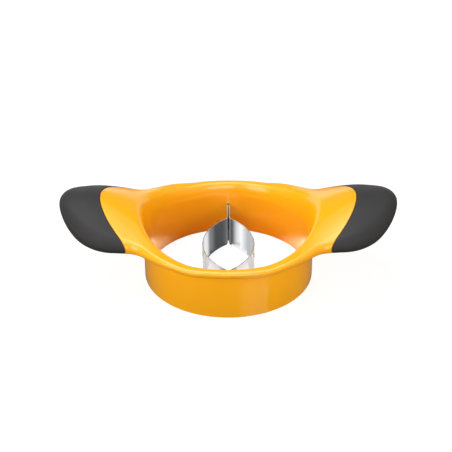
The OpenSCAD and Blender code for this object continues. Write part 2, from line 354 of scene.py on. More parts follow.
@dataclass(frozen=True)
class MouldedAbs(Finish):
    """Glossy injection-moulded ABS: an even colour, soft broad reflections and a faint orange peel."""

    name: str = "abs_moulded_yellow"
    deep: str = "#F2A90E"
    light: str = "#F6B014"
    flow: Cloud = Cloud(45.0, 2.0)
    polish: Cloud = Cloud(9.0, 3.0)
    peel: Cloud = Cloud(2.2, 1.0)
    peel_depth: float = 0.004
    roughness: Pair = (0.13, 0.19)
    ior: float = 1.53
    specular: float = 0.42

    def sockets(self, tree: Tree) -> Sockets:
        """Build the plastic: clouds of flow in its colour, uneven polish and orange peel.

        Args:
            tree: Empty node tree of the material.

        Returns:
            The shader's inputs.
        """
        return {
            "Base Color": self.flow.colour(tree, self.deep, self.light),
            "Roughness": self.polish.dullness(tree, self.roughness),
            "Normal": self.peel.relief(tree, self.peel_depth),
            "IOR": self.ior,
            "Specular IOR Level": self.specular,
        }


@dataclass(frozen=True)
class SoftTouchElastomer(Finish):
    """Soft-touch elastomer from a spark-eroded mould: dull, with a fine even grain and a grey bloom."""

    name: str = "elastomer_soft_charcoal"
    deep: str = "#2B2B2D"
    light: str = "#313133"
    bloom: str = "#8C8C90"
    rub: Cloud = Cloud(22.0, 3.0)
    # The real grain is about 0.15 mm; it is drawn coarser so that it shows
    grain: Cloud = Cloud(0.7, 2.0)
    grain_depth: float = 0.03
    roughness: Pair = (0.62, 0.5)
    ior: float = 1.49
    specular: float = 0.16
    sheen: float = 0.03
    sheen_roughness: float = 0.5

    def sockets(self, tree: Tree) -> Sockets:
        """Build the elastomer: rubbed clouds in colour and dullness, and a fine grain.

        Args:
            tree: Empty node tree of the material.

        Returns:
            The shader's inputs.
        """
        return {
            "Base Color": self.rub.colour(tree, self.deep, self.light),
            "Roughness": self.rub.dullness(tree, self.roughness),
            "Normal": self.grain.relief(tree, self.grain_depth),
            "IOR": self.ior,
            "Specular IOR Level": self.specular,
            "Sheen Weight": self.sheen,
            "Sheen Roughness": self.sheen_roughness,
            "Sheen Tint": linear(self.bloom),
        }


@dataclass(frozen=True)
class PolishedStainless(Finish):
    """Bright-rolled stainless strip: mirror-like, with faint rolling lines along the strip."""

    name: str = "stainless_polished_strip"
    tint: str = "#D6D8DB"
    # The real lines are about 0.05 mm apart; they are drawn coarser so that they show
    line_pitch: float = 0.45
    line_length: float = 30.0
    line_depth: float = 0.0003
    line_detail: float = 3.0
    roughness: Pair = (0.22, 0.28)
    edge_roughness: float = 0.34
    # How far up a face looks before it counts as a sheared edge
    edge_facing: Pair = (0.6, 0.8)
    smear: float = 0.85
    smear_turn: float = 0.25

    def sockets(self, tree: Tree) -> Sockets:
        """Build the steel: long thin streaks that follow the strip, and duller sheared edges.

        Args:
            tree: Empty node tree of the material.

        Returns:
            The shader's inputs.
        """
        along = add_node(tree, "UVMap", uv_map=Blade.LINE_MAP).outputs["UV"]
        scale = (1 / (self.line_length * MM), 1 / (self.line_pitch * MM), 1.0)
        drawn = add_node(tree, "Mapping", {"Vector": along, "Scale": scale}).outputs["Vector"]
        streaks = {"Vector": drawn, "Scale": 1.0, "Detail": self.line_detail}
        lines = add_node(tree, "TexNoise", streaks).outputs["Fac"]
        rolled = {"Value": lines, "To Min": self.roughness[0], "To Max": self.roughness[1]}
        polish = add_node(tree, "MapRange", rolled).outputs["Result"]
        facing = add_node(tree, "NewGeometry").outputs["Normal"]
        upright = add_node(tree, "SeparateXYZ", {0: facing}).outputs["Z"]
        low, high = self.edge_facing
        sheared = {"Value": upright, "From Min": low, "From Max": high, "To Max": self.edge_roughness}
        edge = add_node(tree, "MapRange", sheared).outputs["Result"]
        raised = {"Height": lines, "Distance": self.line_depth * MM, "Strength": 1.0}
        tangent = add_node(tree, "Tangent", direction_type="UV_MAP", uv_map=Blade.LINE_MAP)
        return {
            "Base Color": linear(self.tint),
            "Metallic": 1.0,
            "Roughness": add_node(tree, "Math", {0: polish, 1: edge}, operation="MAXIMUM").outputs[0],
            "Normal": add_node(tree, "Bump", raised).outputs["Normal"],
            "Anisotropic": self.smear,
            "Anisotropic Rotation": self.smear_turn,
            "Tangent": tangent.outputs["Tangent"],
        }


@dataclass(frozen=True)
class MouldedPolypropylene(Finish):
    """Moulded polypropylene of the cores: waxy, dull and slightly cloudy."""

    name: str = "polypropylene_moulded_grey"
    deep: str = "#4A4A4D"
    light: str = "#545457"
    flow: Cloud = Cloud(18.0, 2.0)
    roughness: float = 0.45
    ior: float = 1.49

    def sockets(self, tree: Tree) -> Sockets:
        """Build the plastic: a cloudy grey."""
        colour = self.flow.colour(tree, self.deep, self.light)
        return {"Base Color": colour, "Roughness": self.roughness, "IOR": self.ior}


@dataclass(frozen=True)
class PlainScrewSteel(Finish):
    """Plain stainless of the screws: grey, with a tumbled, slightly uneven polish."""

    name: str = "stainless_tumbled_screws"
    tint: str = "#A9ABAE"
    tumble: Cloud = Cloud(0.6, 2.0)
    roughness: Pair = (0.26, 0.42)

    def sockets(self, tree: Tree) -> Sockets:
        """Build the steel: an uneven polish."""
        polish = self.tumble.dullness(tree, self.roughness)
        return {"Base Color": linear(self.tint), "Metallic": 1.0, "Roughness": polish}


@dataclass(frozen=True)
class SlicerForm:
    """Sizes and surfaces that the ring, the wings and the grips share."""

    # Ring
    ring_r: float = 62.0
    ring_h: float = 35.0
    skirt_wall: float = 1.4
    funnel_wall: float = 1.8
    foot_t: float = 1.4
    joint_draft: float = 0.4
    joint_fit: float = 0.1
    # Rim
    lip_overhang: float = 5.2
    lip_t: float = 5.2
    shadow_gap: float = 0.4
    lip_lift: float = 1.7
    lift_full: float = 45.0
    lift_end: float = 75.0
    lift_soft: float = 20.0
    # Wings
    wing_len: float = 59.4
    wing_depth: float = 81.8
    wing_rise: float = 25.2
    wing_t: float = 13.8
    tip_edge_t: float = 16.6
    tip_round: float = 40.6
    tip_power: float = 1.9
    tip_middle: float = 0.2
    droop: float = 0.315
    droop_in: float = 22.0
    droop_soft: float = 6.0
    rise_in: float = 38.0
    crest_level: float = 20.0
    oval_reach: float = 12.8
    oval_power: float = 2.2
    blend: float = 10.0
    edge_growth: float = 1.5
    # Seam between wing and grip, and the tongue inside it
    grip_len: float = 29.6
    seam_fall: float = 20.2
    seam_gap: float = 0.3
    seam_round: float = 0.5
    tongue_w: float = 32.0
    tongue_t: float = 5.0
    tongue_len: float = 18.0
    tongue_lean: float = 20.0
    seat_wall: float = 1.5
    screw_pitch: float = 18.0
    screw_in: float = 10.0

    @cached_property
    def joint_r(self) -> float:
        """Radius of the joint between funnel and skirt at the foot."""
        return self.ring_r - self.skirt_wall

    @cached_property
    def bore_r(self) -> float:
        """Radius of the bore at the foot."""
        return self.joint_r - self.joint_fit - self.funnel_wall

    @cached_property
    def rim_z(self) -> float:
        """Height of the rim, front and rear."""
        return self.ring_h + self.shadow_gap + self.lip_t

    @cached_property
    def tip_x(self) -> float:
        """Distance of a wing's tip from the middle."""
        return self.ring_r + self.wing_len

    @cached_property
    def half_w(self) -> float:
        """Half depth of a wing."""
        return self.wing_depth / 2

    @cached_property
    def seam_x(self) -> float:
        """Distance of the seam's crest from the middle."""
        return self.tip_x - self.grip_len

    @cached_property
    def seam_bow(self) -> float:
        """How fast the seam falls back with the square of the distance from the crest."""
        return self.seam_fall / self.half_w ** 2

    @cached_property
    def screw_seat(self) -> float:
        """Height of the screws' seats from the tongue's middle."""
        return -self.tongue_t / 2 - self.seat_wall

    @cached_property
    def corner(self) -> float:
        """Bearing at which the seam meets the outline.

        Returns:
            The bearing from the wing's axis.
        """
        def inside(bearing: float) -> bool:
            """Tell whether the seam at a bearing lies inside the outline."""
            r = self.seam_at(bearing)
            return r * math.sin(bearing) < self.half_depth(r * math.cos(bearing))
        return halve(inside, 0.0, QUARTER)

    def joint_at(self, z: float) -> float:
        """Return the joint's radius at a height."""
        return self.joint_r + self.joint_draft * z / self.ring_h

    def seam_at(self, bearing: float) -> float:
        """Return the seam's radius at a bearing from the wing's axis."""
        c, s = math.cos(bearing), math.sin(bearing)
        return 2 * self.seam_x / (c + math.sqrt(c * c + 4 * self.seam_bow * self.seam_x * s * s))

    def outline_at(self, bearing: float) -> float:
        """Return the outline's radius at a bearing from the wing's axis."""
        c, s = math.cos(bearing), math.sin(bearing)
        return halve(lambda r: r * s <= self.half_depth(r * c), self.ring_r, self.tip_x)

    def tip_share(self, x: float) -> float:
        """Return how far along the tip's rounding a point lies."""
        return max(0.0, x - self.tip_x + self.tip_round) / self.tip_round

    def wing_half(self, x: float) -> float:
        """Return the wing's half depth."""
        share = max(0.0, 1 - self.tip_share(x) ** self.tip_power)
        return self.half_w * share ** (1 / self.tip_power)

    def oval_half(self, x: float) -> float:
        """Return the half depth of the rim's oval."""
        share = max(0.0, 1 - (x / (self.ring_r + self.oval_reach)) ** self.oval_power)
        return (self.ring_r + self.lip_overhang) * share ** (1 / self.oval_power)

    def half_depth(self, x: float) -> float:
        """Return the half depth of the outline that blends wing and rim."""
        return (self.wing_half(x) ** self.blend + self.oval_half(x) ** self.blend) ** (1 / self.blend)

    def depth_slope(self, x: float) -> float:
        """Return the outline's slope.

        Args:
            x: Distance along the wing.

        Returns:
            Change of the half depth with x.
        """
        y = self.half_depth(x)
        lean = (self.ring_r + self.lip_overhang) / (self.ring_r + self.oval_reach)
        wing = (self.wing_half(x) / y) ** (self.blend - self.tip_power)
        wing *= (self.tip_share(x) * self.half_w / y) ** (self.tip_power - 1) * self.half_w / self.tip_round
        oval = (self.oval_half(x) / y) ** (self.blend - self.oval_power)
        oval *= (lean * x / y) ** (self.oval_power - 1) * lean
        return -wing - oval

    def edge_dist(self, x: float, y: float, inset: float) -> float:
        """Return how far a plan point lies in from the outline.

        Args:
            x: Distance along the wing.
            y: Distance from the crest, not negative.
            inset: How far the outline is drawn in.

        Returns:
            The distance, negative outside.
        """
        round_x = self.tip_x - self.tip_round
        if x <= max(round_x, self.ring_r + self.oval_reach):
            return (self.half_depth(x) - inset - y) / math.hypot(1, self.depth_slope(x))
        length, depth, n = self.tip_round - inset, self.half_w - inset, self.tip_power
        u, v = (x - round_x) / length, y / depth
        rho = (u ** n + v ** n) ** (1 / n)
        if rho < self.tip_middle:
            return self.half_w / 2
        return (1 - rho) / math.hypot((u / rho) ** (n - 1) / length, (v / rho) ** (n - 1) / depth)

    def crest(self, x: float) -> float:
        """Return the crest's height."""
        start = self.ring_r - self.rise_in
        return self.rim_z + self.wing_rise * smooth((x - start) / (self.tip_x - self.crest_level - start))

    def arch(self, x: float) -> float:
        """Return how far the wing's edges droop under its crest."""
        past = x - self.ring_r + self.droop_in
        return self.droop * (past + math.hypot(past, self.droop_soft)) / 2

    def lift(self, x: float) -> float:
        """Return how far the lip's lower edge rises between its middle and a wing."""
        return self.lip_lift * smooth(x / self.lift_full) * smooth((self.lift_end - x) / self.lift_soft)

    def edge_t(self, x: float) -> float:
        """Return the edge's thickness."""
        grown = (self.tip_edge_t - self.lip_t) * (x / self.tip_x) ** self.edge_growth
        return self.lip_t + grown - self.lift(x)

    def levels(self, x: float, y: float, inset: float = 0.0) -> Pair:
        """Return the heights of the underside and the upper side.

        Args:
            x: Distance along the wing.
            y: Distance from the crest, not negative.
            inset: How far the skin is drawn in.

        Returns:
            Height of the underside and of the upper side.
        """
        out = (y / max(self.half_w, self.half_depth(x))) ** 2
        edge = self.edge_t(x)
        thick = self.wing_t - (self.wing_t - edge) * out
        middle = self.crest(x) - self.arch(x) * out - thick / 2
        radius = edge / 2 - inset
        dist = max(0.0, self.edge_dist(x, y, inset))
        roll = 1.0 if dist >= radius else math.sqrt(max(0.0, 1 - (1 - dist / radius) ** 2))
        half = (thick / 2 - inset) * roll
        return middle - half, middle + half

    def at(self, radius: float, bearing: float) -> Pair:
        """Return the heights of the underside and the upper side at a radius and a bearing."""
        return self.levels(radius * math.cos(bearing), radius * math.sin(bearing))

    def on_tongue(self, side: Side, along: float, across: float, up: float) -> tuple[Vector, Point]:
        """Place a point in the frame of a wing's tongue, whose origin is the tongue's middle at the seam.

        Args:
            side: Wing that the tongue is in.
            along: Distance from the seam towards the tip.
            across: Distance to the rear.
            up: Distance from the tongue's middle towards its upper face.

        Returns:
            The point in metres, and the tongue's turn.
        """
        low, high = self.levels(self.seam_x, 0.0)
        drop = self.arch(self.seam_x) * (self.tongue_w / self.wing_depth) ** 2 / 2
        middle = Vector((side.value * self.seam_x, 0.0, (low + high) / 2 - drop))
        lean = -side.value * math.radians(self.tongue_lean)
        local = Vector((side.value * along, across, up))
        return (middle + Matrix.Rotation(lean, 3, "Y") @ local) * MM, (0.0, lean, 0.0)

    def screw_places(self, up: float) -> list[tuple[Vector, Point]]:
        """Return a point in metres on each screw's axis, so far up from the tongue's middle, and its turn."""
        sides = (-self.screw_pitch / 2, self.screw_pitch / 2)
        return [self.on_tongue(side, -self.screw_in, across, up) for side in Side for across in sides]


@dataclass
class Part(ABC):
    """A sub-assembly that stands for one CAD node, rides on the slicer and wears one finish."""

    form: SlicerForm
    finish: Finish
    slot: str
    node: str
    sharp: float = 30.0

    @abstractmethod
    def build(self) -> Piece:
        """Model the piece and return it."""

    def dress(self, piece: Piece) -> None:
        """Give a piece its finish."""
        piece.data.materials.clear()
        piece.data.materials.append(self.finish.material())

    def add(self) -> Piece:
        """Build and dress the piece, and set it in the CAD node's place.

        Returns:
            The piece.
        """
        piece = self.build()
        shade(piece, self.sharp)
        self.dress(piece)
        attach(piece, BODY)
        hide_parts(self.node)
        LOG.info("%s: %d faces, %s", piece.name, len(piece.data.polygons), self.finish.name)
        return piece


@dataclass
class Blade(Part):
    """One bowed steel strip with straight tails, hooked ends and a ground lower edge."""

    side: Side = Side.RIGHT
    thick: float = 0.6
    height: float = 22.0
    gap: float = 0.8
    pit_w: float = 38.4
    pit_len: float = 77.0
    cusp_r: float = 4.0
    hook_len: float = 3.4
    bevel_h: float = 1.6
    edge_w: float = 0.12
    edge_z: float = 0.1
    edge_ease: float = 0.06
    step_in: float = 0.4
    step_len: float = 0.1
    fold: float = 60.0
    sharp: float = 6.0

    LINE_MAP = "UVMap"
    BOW_STEPS = 60
    CUSP_STEPS = 18
    HOOK_STEPS = 8
    EASE_STEPS = 2
    ROWS = 6

    @property
    def low(self) -> float:
        """Height at which the hooked ends stand on the skirt's foot."""
        return self.form.foot_t + self.form.joint_fit

    @property
    def top(self) -> float:
        """Height of the upper edge."""
        return self.low + self.height

    @property
    def tail_x(self) -> float:
        """Distance of a tail's middle from the slicer's middle plane."""
        return (self.gap + self.thick) / 2

    @property
    def tail_r(self) -> float:
        """Bend between a tail and its hook."""
        return self.thick / 2 + self.form.joint_fit

    @property
    def hook_x(self) -> float:
        """Distance of a hook's end from the slicer's middle plane."""
        return self.tail_x + self.tail_r + self.hook_len

    @property
    def hook_y(self) -> float:
        """Distance of a hook's middle from the slicer's other middle plane."""
        return math.sqrt(self.form.joint_r ** 2 - self.hook_x ** 2) - self.form.joint_fit - self.thick / 2

    @property
    def step_y(self) -> float:
        """Where the lower edge steps up, just inside the bore, to stand on the foot."""
        return self.form.bore_r - self.step_in

    def rear_line(self) -> list[Pair]:
        """Return the strip's line in plan, from the cell's middle to the end of the rear hook.

        Returns:
            Points of the right strip's line.
        """
        cusp_y = self.pit_len / 2
        mid_x = (self.pit_w - self.thick) / 2
        bow = 2 * math.atan((mid_x - self.tail_x) / cusp_y)
        bow_r = cusp_y / math.sin(bow) - self.cusp_r

        def arc(centre: Pair, r: float, first: float, last: float, count: int) -> list[Pair]:
            """Return points along an arc, without its last."""
            turns = steps(count, first, last)[:-1]
            return [(centre[0] + r * math.cos(a), centre[1] + r * math.sin(a)) for a in turns]

        tail = (self.tail_x + self.tail_r, self.hook_y - self.tail_r)
        return [
            *arc((mid_x - bow_r, 0.0), bow_r, 0.0, bow, self.BOW_STEPS),
            *arc((self.tail_x + self.cusp_r, cusp_y), self.cusp_r, math.pi + bow, math.pi, self.CUSP_STEPS),
            (self.tail_x, cusp_y),
            (self.tail_x, self.step_y - self.step_len),
            (self.tail_x, self.step_y),
            *arc(tail, self.tail_r, math.pi, QUARTER, self.HOOK_STEPS),
            (tail[0], self.hook_y),
            (self.hook_x, self.hook_y),
        ]

    def build(self) -> Piece:
        """Model the strip as an upright sheet along its line, thicken it and grind its lower edge.

        Returns:
            The strip.
        """
        rear = self.rear_line()
        line = [(x, -y) for x, y in reversed(rear[1:])] + rear
        ground_z = self.edge_z + self.bevel_h
        heights = [self.edge_z, *steps(self.ROWS, ground_z, self.top)]

        def place(column: int, row: int) -> Point:
            """Place one point of the sheet.

            Args:
                column: Number of the point along the line.
                row: Number of the point up the strip.

            Returns:
                The point.
            """
            x, y = line[column]
            stands = row == 0 and abs(y) > self.step_y - self.step_len / 2
            return (self.side.value * x, y, self.low if stands else heights[row])

        piece = wrapped_grid(self.node, len(line) - 1, len(heights) - 1, place)
        self.unroll(piece, line, heights)
        ground = piece.vertex_groups.new(name="full_thickness")
        level = (self.low + ground_z) / 2 * MM
        ground.add([v.index for v in piece.data.vertices if v.co.z > level], 1.0, "ADD")
        apply_modifier(
            piece, "SOLIDIFY", thickness=self.thick * MM, offset=0.0, use_even_offset=True,
            vertex_group=ground.name, thickness_vertex_group=self.edge_w / self.thick,
        )
        piece.vertex_groups.clear()
        close_mesh(piece)
        round_edges(piece, self.edge_ease, self.EASE_STEPS, self.fold)
        return piece

    def unroll(self, piece: Piece, line: list[Pair], heights: list[float]) -> None:
        """Set the strip's own map to metres along the line and up the strip.

        Args:
            piece: The sheet.
            line: Points of its line in plan.
            heights: Heights of its rows.
        """
        runs = [0.0]
        for before, after in zip(line, line[1:]):
            runs.append(runs[-1] + math.dist(before, after))
        columns, rows = len(line) - 1, len(heights) - 1
        for corner in piece.data.uv_layers[self.LINE_MAP].data:
            column, row = round(corner.uv.x * columns), round(corner.uv.y * rows)
            corner.uv = (runs[column] * MM, heights[row] * MM)


@dataclass
class FunnelBody(Part):
    """The yellow moulding: bore, saddle-shaped rim with its lip, and the two wing stubs."""

    blade: Blade = field(kw_only=True)
    mouth_flare: float = 1.7
    wing_flare: float = 4.9
    flare_h: float = 9.0
    wing_flare_h: float = 5.0
    mouth_round: float = 2.8
    wing_round: float = 5.0
    flare_ease: float = 3.5
    bore_draft: float = 0.3
    pocket_end: float = 0.4
    pocket_ease: float = 0.3
    screw_hole_r: float = 1.5
    head_hole_r: float = 3.0
    sharp: float = 32.0

    SEAM_COLUMNS = 48
    RIM_COLUMNS = 84
    RIM_CROWDING = 1.7
    CUT_TURN = math.radians(0.06)
    ROLL_END = math.radians(5.0)
    EASE_STEPS = 6
    MOUTH_STEPS = 14
    TOP_STEPS = 12
    ROLL_STEPS = 16
    ROUND_STEPS = 6
    ROUND_PART = 3
    UNDER_STEPS = 10
    HOLE_STEPS = 64

    @property
    def hook_turn(self) -> float:
        """Half turn of a hook pocket."""
        return math.asin((self.blade.hook_x + self.pocket_end) / self.form.joint_r)

    @property
    def slot_turn(self) -> float:
        """Half turn of a blade slot."""
        half = self.blade.tail_x + self.blade.thick / 2 + self.form.joint_fit
        return math.asin(half / self.form.bore_r)

    @property
    def flare_z(self) -> float:
        """Height at which the bore's wall starts to flare."""
        return self.form.rim_z - self.flare_h - self.flare_ease

    def bearings(self) -> list[float]:
        """Return the sections' bearings over a quarter turn, closer at the seam's end and the blade slot.

        Returns:
            Bearings from the wing's axis to the blade slot's middle.
        """
        corner = self.form.corner
        last = QUARTER - self.hook_turn - self.CUT_TURN
        seam = [corner * math.sin(QUARTER * t) for t in steps(self.SEAM_COLUMNS)[:-1]]
        rim = [corner + (last - corner) * t ** self.RIM_CROWDING for t in steps(self.RIM_COLUMNS)[1:]]
        slot = (self.hook_turn, self.slot_turn + self.CUT_TURN, self.slot_turn, 0.0)
        return [*seam, *rim, *(QUARTER - turn for turn in slot)]

    def bore_at(self, z: float) -> float:
        """Return the bore's radius at a height below the flare."""
        return self.form.bore_r + self.bore_draft * z / self.flare_z

    def mouth(self, bearing: float) -> list[Pair]:
        """Return the bore's wall from the flare over the mouth's rounding to the upper side.

        Args:
            bearing: Bearing in the first quarter.

        Returns:
            Points as radius and height.
        """
        form = self.form
        share = math.cos(bearing) ** 2
        wall_r = self.bore_at(self.flare_z)
        corner_r = form.bore_r + self.mouth_flare + (self.wing_flare - self.mouth_flare) * share
        corner = (corner_r, form.at(corner_r, bearing)[1])
        down = self.flare_h + (self.wing_flare_h - self.flare_h) * share
        rise = corner[1] - down - self.flare_z
        bend = (corner_r - wall_r) / (rise * (rise + 2 * down))
        low = (wall_r + bend * rise ** 2, corner[1] - down)
        high_r = corner_r + self.mouth_round + (self.wing_round - self.mouth_round) * share
        high = (high_r, form.at(high_r, bearing)[1])
        points = [
            (wall_r + bend * (t * rise) ** 2, self.flare_z + t * rise) for t in steps(self.EASE_STEPS)[:-1]
        ]
        for t in steps(self.MOUTH_STEPS):
            a, b, c = (1 - t) ** 2, 2 * t * (1 - t), t * t
            points.append(tuple(a * p + b * q + c * r for p, q, r in zip(low, corner, high)))
        return points

    def rolled_edge(self, bearing: float) -> list[Pair]:
        """Return the rolled edge of rim and wing, over its upper side and back along its underside.

        Args:
            bearing: Bearing in the first quarter.

        Returns:
            Points as radius and height.
        """
        form = self.form
        end = form.outline_at(bearing)
        c, s = math.cos(bearing), math.sin(bearing)
        slope = form.depth_slope(end * c)
        depth = form.edge_t(end * c) / 2 * math.hypot(1, slope) / (s - slope * c)
        radii = [end - depth * (1 - math.cos(w)) for w in steps(self.ROLL_STEPS, QUARTER, self.ROLL_END)]
        upper = [(r, form.at(r, bearing)[1]) for r in radii]
        under = [(r, form.at(r, bearing)[0]) for r in reversed(radii)]
        return [*upper, *under]

    def seam_edge(self, bearing: float) -> list[Pair]:
        """Return the wing's end at the seam, with its upper and lower edges rounded.

        Args:
            bearing: Bearing in the first quarter.

        Returns:
            Points as radius and height.
        """
        form = self.form
        end = form.seam_at(bearing)
        low, high = form.at(end, bearing)
        edge = min(form.seam_round, (high - low) / self.ROUND_PART)
        start = end - form.edge_t(end * math.cos(bearing)) / 2
        runs = steps(self.ROLL_STEPS - self.ROUND_STEPS, start, end - edge)
        turns = steps(self.ROUND_STEPS, 0.0, QUARTER)[1:]
        low, high = form.at(end - edge, bearing)
        rounds = [(end - edge * (1 - math.sin(w)), edge * (1 - math.cos(w))) for w in turns]
        upper = [(r, form.at(r, bearing)[1]) for r in runs] + [(r, high - d) for r, d in rounds]
        under = [(r, form.at(r, bearing)[0]) for r in runs] + [(r, low + d) for r, d in rounds]
        return [*upper, *reversed(under)]

    def section(self, bearing: float) -> list[Pair]:
        """Return one closed section of the moulding.

        Args:
            bearing: Bearing in the first quarter.

        Returns:
            Points as radius and height, from the foot up the bore, over the rim and down the outer wall.
        """
        form, blade = self.form, self.blade
        hooked = bearing >= QUARTER - self.hook_turn
        slotted = bearing >= QUARTER - self.slot_turn
        slot_top = blade.top + form.joint_fit
        foot = slot_top if slotted else form.foot_t + form.joint_fit
        pocket_z, wall_z = slot_top + self.pocket_ease, slot_top + 2 * self.pocket_ease
        pocket_r = blade.hook_y - blade.thick / 2 - form.joint_fit
        mouth = self.mouth(bearing)
        edge = self.seam_edge(bearing) if bearing < form.corner else self.rolled_edge(bearing)
        top = steps(self.TOP_STEPS, mouth[-1][0], edge[0][0])[1:-1]
        ledge_z = form.ring_h + form.joint_fit + form.lift(form.ring_r * math.cos(bearing))
        ledge = (form.joint_at(form.ring_h) - form.joint_fit, ledge_z)
        under = steps(self.UNDER_STEPS, edge[-1][0], ledge[0])[1:-1]
        return [
            (self.bore_at(foot), foot),
            (self.bore_at(wall_z), wall_z),
            *mouth,
            *((r, form.at(r, bearing)[1]) for r in top),
            *edge,
            *((r, max(ledge_z, form.at(r, bearing)[0])) for r in under),
            ledge,
            (form.joint_at(wall_z) - form.joint_fit, wall_z),
            (pocket_r if hooked else form.joint_at(pocket_z) - form.joint_fit, pocket_z),
            (pocket_r if hooked else form.joint_at(foot) - form.joint_fit, foot),
        ]

    def build(self) -> Piece:
        """Wrap a grid round the ring and its wings, and cut the sockets and screw holes of the grips.

        Returns:
            The moulding.
        """
        quarter = self.bearings()
        sections = [self.section(b) for b in quarter]
        last = len(quarter) - 1
        rows = len(sections[0])

        def place(column: int, row: int) -> Point:
            """Place one point of the moulding.

            Args:
                column: Number of the section round the ring.
                row: Number of the point round the section.

            Returns:
                The point.
            """
            turn, part = divmod(column % (4 * last), last)
            index = last - part if turn % 2 else part
            across = -1 if turn in (1, 2) else 1
            deep = -1 if turn in (2, 3) else 1
            r, z = sections[index][row % rows]
            return (across * r * math.cos(quarter[index]), deep * r * math.sin(quarter[index]), z)

        piece = wrapped_grid(self.node, 4 * last, rows, place)
        close_mesh(piece)
        seat = self.form.screw_seat
        holes = self.drilled(self.screw_hole_r, seat - self.form.seat_wall, 0.0)
        counterbores = self.drilled(self.head_hole_r, seat - self.form.wing_t, seat)
        for cutters in (self.sockets(), holes, counterbores):
            take_away(piece, cutters)
        return piece

    def sockets(self) -> list[Piece]:
        """Return the solids of the sockets that take the grips' tongues.

        Returns:
            One solid for each wing.
        """
        form = self.form
        length = form.tongue_len + form.wing_len / 2
        size = (length, form.tongue_w + 2 * form.joint_fit, form.tongue_t + 2 * form.joint_fit)
        made = []
        for side in Side:
            place, turn = form.on_tongue(side, length / 2 - form.tongue_len - form.joint_fit, 0.0, 0.0)
            bpy.ops.mesh.primitive_cube_add(size=1, location=place, rotation=turn, scale=Vector(size) * MM)
            made.append(bpy.context.object)
        return made

    def drilled(self, radius: float, low: float, high: float) -> list[Piece]:
        """Return upright cylinders on the screws' axes.

        Args:
            radius: Radius of the cylinders.
            low: Lower end from the tongue's middle.
            high: Upper end from the tongue's middle.

        Returns:
            One cylinder for each screw.
        """
        made = []
        for place, turn in self.form.screw_places((low + high) / 2):
            bpy.ops.mesh.primitive_cylinder_add(
                vertices=self.HOLE_STEPS, radius=radius * MM, depth=(high - low) * MM,
                location=place, rotation=turn,
            )
            made.append(bpy.context.object)
        return made


@dataclass
class SkirtRing(Part):
    """The plain yellow skirt with its turned-in foot."""

    edge_round: float = 0.45
    fold: float = 50.0

    ROUND_STEPS = 4
    TURN_STEPS = 256

    def build(self) -> Piece:
        """Lay out the wall's section, spin it round the ring, round its edges and fit its top to the lip.

        Returns:
            The skirt.
        """
        form = self.form
        profile = [
            (form.ring_r, 0.0),
            (form.ring_r, form.ring_h),
            (form.joint_at(form.ring_h), form.ring_h),
            (form.joint_at(form.foot_t), form.foot_t),
            (form.bore_r, form.foot_t),
            (form.bore_r, 0.0),
        ]
        deselect()
        bpy.ops.mesh.primitive_circle_add(vertices=len(profile), fill_type="NOTHING")
        piece = bpy.context.object
        piece.name = piece.data.name = self.node
        for vertex, (r, z) in zip(piece.data.vertices, profile):
            vertex.co = Vector((r, 0.0, z)) * MM
        with editing(piece):
            bpy.ops.mesh.spin(steps=self.TURN_STEPS, angle=2 * math.pi, center=(0, 0, 0), axis=(0, 0, 1))
        close_mesh(piece)
        round_edges(piece, self.edge_round, self.ROUND_STEPS, self.fold)
        for vertex in piece.data.vertices:
            if vertex.co.z > form.ring_h * MM / 2:
                vertex.co.z += form.lift(abs(vertex.co.x) / MM) * MM
        return piece


